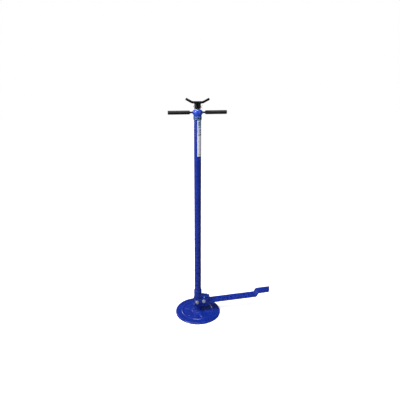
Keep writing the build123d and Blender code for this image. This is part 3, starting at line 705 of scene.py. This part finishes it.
# ---------------------------------------------------------------- bolts and nuts
def cross_axis(node, at_y, side):
    """Lays a shape built along +Z down along Y, from at_y and facing side, on the node's axis."""
    spot = middle_of(node)
    return Matrix.Translation((spot.x, at_y, spot.z)) @ Matrix.Rotation(-side * pi / 2, 4, "X")


BOLT_RADIUS = 6.0 * MM
BOLT_PITCH = 1.75 * MM
BOLT_HEAD = 7.5 * MM  # its height, with the washer face under it
BOLT_THREADED = 26 * MM
WASHER_FACE = 0.4 * MM


def make_bolt(node, body, head_side):
    """A hex bolt with a washer face under its head and a rolled thread at its far end.

    It is built upright with its seat on z = 0, the head over it and the shank under it.
    """
    low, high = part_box(node)
    flats = high.z - low.z
    seat = high.y - BOLT_HEAD if head_side > 0 else low.y + BOLT_HEAD
    far = high.y - low.y - BOLT_HEAD
    tip_top = -far + 0.8 * MM
    thread_top = BOLT_THREADED - far
    thread_root = 0.85 * BOLT_RADIUS
    neck = 0.9 * BOLT_RADIUS
    head = hex_block(flats, BOLT_HEAD - WASHER_FACE)
    head = moved(head, Matrix.Translation((0, 0, WASHER_FACE)))
    face = lathe([(0, 0), (0.46 * flats, 0), (0.46 * flats, WASHER_FACE), (0, WASHER_FACE)])
    shank = [
        (0, 0.2 * MM),
        (BOLT_RADIUS, 0.2 * MM),
        (BOLT_RADIUS, thread_top),
        (neck, thread_top - 1 * MM),
    ]
    screw = thread(tip_top, thread_top, BOLT_RADIUS, thread_root, BOLT_PITCH, segments=28)
    tip = lathe([(0, -far), (0.78 * BOLT_RADIUS, -far), (neck, tip_top), (0, tip_top)])
    shape = joined(head, face, lathe(shank), screw, tip)
    shape = moved(shape, cross_axis(node, seat, head_side))
    return make_piece(f"{node}_detailed", shape, "zinc", body, [node], smooth=35.0)


def make_lock_nut(node, body, slot):
    """A lock nut: hexagon, rolled collar and the nylon ring inside the collar."""
    ring_node = f"{node}_ring"
    low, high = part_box(node)
    flats = high.z - low.z
    side = 1 if high.y > 0 else -1
    seat = low.y if side > 0 else high.y
    full = high.y - low.y
    hexagon = 8.2 * MM
    outer = 0.455 * flats
    hole = 5.2 * MM
    collar = [
        (outer, hexagon - 0.6 * MM),
        (outer, full - 2.4 * MM),
        (outer - 0.25 * MM, full - 1.3 * MM),
        (outer - 0.9 * MM, full - 0.35 * MM),
        (outer - 1.5 * MM, full),
        (outer - 1.9 * MM, full - 0.3 * MM),
        (outer - 1.9 * MM, full - 1.6 * MM),
        (hole, full - 1.6 * MM),
    ]
    matrix = cross_axis(node, seat, side)
    shape = moved(joined(hex_block(flats, hexagon), lathe(collar)), matrix)
    make_piece(f"{node}_detailed", shape, slot, body, [node], smooth=35.0)
    inner = outer - 1.95 * MM
    ring = [
        (hole, full - 2.6 * MM),
        (inner, full - 2.6 * MM),
        (inner, full - 1.1 * MM),
        (inner - 0.5 * MM, full - 0.6 * MM),
        (hole + 1.2 * MM, full - 0.55 * MM),
        (hole + 0.75 * MM, full - 0.9 * MM),
        (hole + 0.6 * MM, full - 2.6 * MM),
    ]
    shape = moved(lathe(ring), matrix)
    make_piece(f"{ring_node}_detailed", shape, "nylon", body, [ring_node], smooth=50.0)


# ---------------------------------------------------------------- lifting screw
def make_screw():
    """The lifting screw's trapezoid thread, whose pitch is what one turn of the hub lifts."""
    low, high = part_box("lifting_screw")
    couplings = frame["record"]["behaviour"]["couplings"]
    ratio = next(row["ratio"] for row in couplings if row["joint"] == "screw_lift")
    radius = high.x
    tip_top = low.z + 1.5 * MM
    bar = thread(
        tip_top,
        high.z,
        outer=radius,
        root=radius - 2.7 * MM,
        pitch=tau * ratio,
        segments=36,
        key_half=3.3 * MM,
        key_floor=10.0 * MM,
    )
    end = [(0, low.z), (radius - 3.2 * MM, low.z), (radius - 2.2 * MM, tip_top), (0, tip_top)]
    shape = joined(bar, lathe(end))
    replaces = ["lifting_screw"]
    make_piece("lifting_screw_threaded", shape, "screw_steel", "lift", replaces, smooth=25.0)


# ---------------------------------------------------------------- return spring
# where the spring's moving leg leaves the coil and bends under the bar, as (x, z) in mm
SPRING_HOOK = ((43.3, 88), (43.6, 80), (44.2, 76.3), (45.6, 74.4), (48, 73.9))
# and where it lies along the bar's underside, as x in mm
SPRING_REST = (52, 60, 68)


def make_spring():
    """Torsion spring on the fulcrum bolt: one leg leans on the bracket's pin, one lifts the bar."""
    pivot = Vector(joints["pedal_press"]["pos_m"])
    wire = 1.4 * MM
    coil = 7.9 * MM
    reach = 10.5 * MM
    laps = 6.5
    steps = 220
    still_end = Vector((37.0 * MM, reach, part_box("return_spring")[1].z - 1 * MM))
    route = [still_end, Vector((pivot.x - coil - 0.3 * MM, reach, pivot.z + 6 * MM))]
    for k in range(steps + 1):
        share = k / steps
        turn = pi + tau * laps * share
        y = reach - 2 * reach * share
        route.append(Vector((pivot.x + coil * cos(turn), y, pivot.z + coil * sin(turn))))
    for x, z in SPRING_HOOK:
        route.append(Vector((x * MM, -reach, z * MM)))
    under = BAR_AXIS - BAR_HALF - wire - 0.2 * MM
    slope = tan(BAR_SLOPE)
    for x in SPRING_REST:
        route.append(Vector((x * MM, -reach, under + slope * x * MM)))
    shape = sweep(route, [wire] * len(route), sides=12)
    spring = make_piece("return_spring_coiled", shape, "spring_steel", None, smooth=60.0)
    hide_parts("return_spring")
    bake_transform(spring)


# ---------------------------------------------------------------- split pin
def split_pin_leg(start, side, wire):
    """One leg past the sleeve, as (along the pin, up): it bends away and ends straight."""
    bend = 3.0 * MM
    length = 12.0 * MM
    splay = radians(38)
    steps = 8
    points = []
    for k in range(steps + 1):
        angle = splay * k / steps
        points.append((start + bend * sin(angle), side * (wire + bend * (1 - cos(angle)))))
    x, z = points[-1]
    points.append((x + length * cos(splay), z + side * length * sin(splay)))
    return points


def split_pin_eye(centre, radius, wire):
    """The eye, as (along the pin, up), open where the two legs leave it."""
    steps = 24
    opening = asin(wire / radius)
    points = []
    for k in range(steps + 1):
        angle = opening + (tau - 2 * opening) * k / steps
        points.append((centre + radius * cos(angle), radius * sin(angle)))
    return points


def make_split_pin():
    """A split pin through the saddle's sleeve: an eye at the back and two legs bent apart."""
    height = middle_of("cotter_pin").z
    turn = radians(-28)  # the pin's direction round the sleeve, from +X
    wire = 1.0 * MM
    widening = 0.8  # how much wider than thick its half-round legs are
    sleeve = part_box("saddle_sleeve")[1].x
    start = sleeve + 0.6 * MM
    back = -(sleeve + 0.2 * MM)
    upper = list(reversed(split_pin_leg(start, 1, wire)))
    eye = split_pin_eye(-(sleeve + 3.4 * MM), 2.8 * MM, wire)
    flat = upper + [(back, wire)] + eye + [(back, -wire)] + split_pin_leg(start, -1, wire)
    route = [Vector((x * cos(turn), x * sin(turn), height + z)) for x, z in flat]
    points, faces = sweep(route, [wire] * len(route), sides=12)
    flank = Vector((-sin(turn), cos(turn), 0))
    points = [point + widening * flank * point.dot(flank) for point in points]
    pin = make_piece("split_pin", (points, faces), "zinc", "lift", ["cotter_pin"], smooth=60.0)
    pin.data.materials[0] = PIN_STEEL


# ---------------------------------------------------------------- every piece
weld_guide_tube()
weld_cheeks()
weld_top()
make_bolt("fulcrum_bolt", "base", head_side=-1)
make_bolt("lift_bolt", "column", head_side=1)
make_lock_nut("fulcrum_nut", "base", "zinc")
make_lock_nut("lift_nut", "column", "yellow_zinc")
make_screw()
make_spring()
make_split_pin()
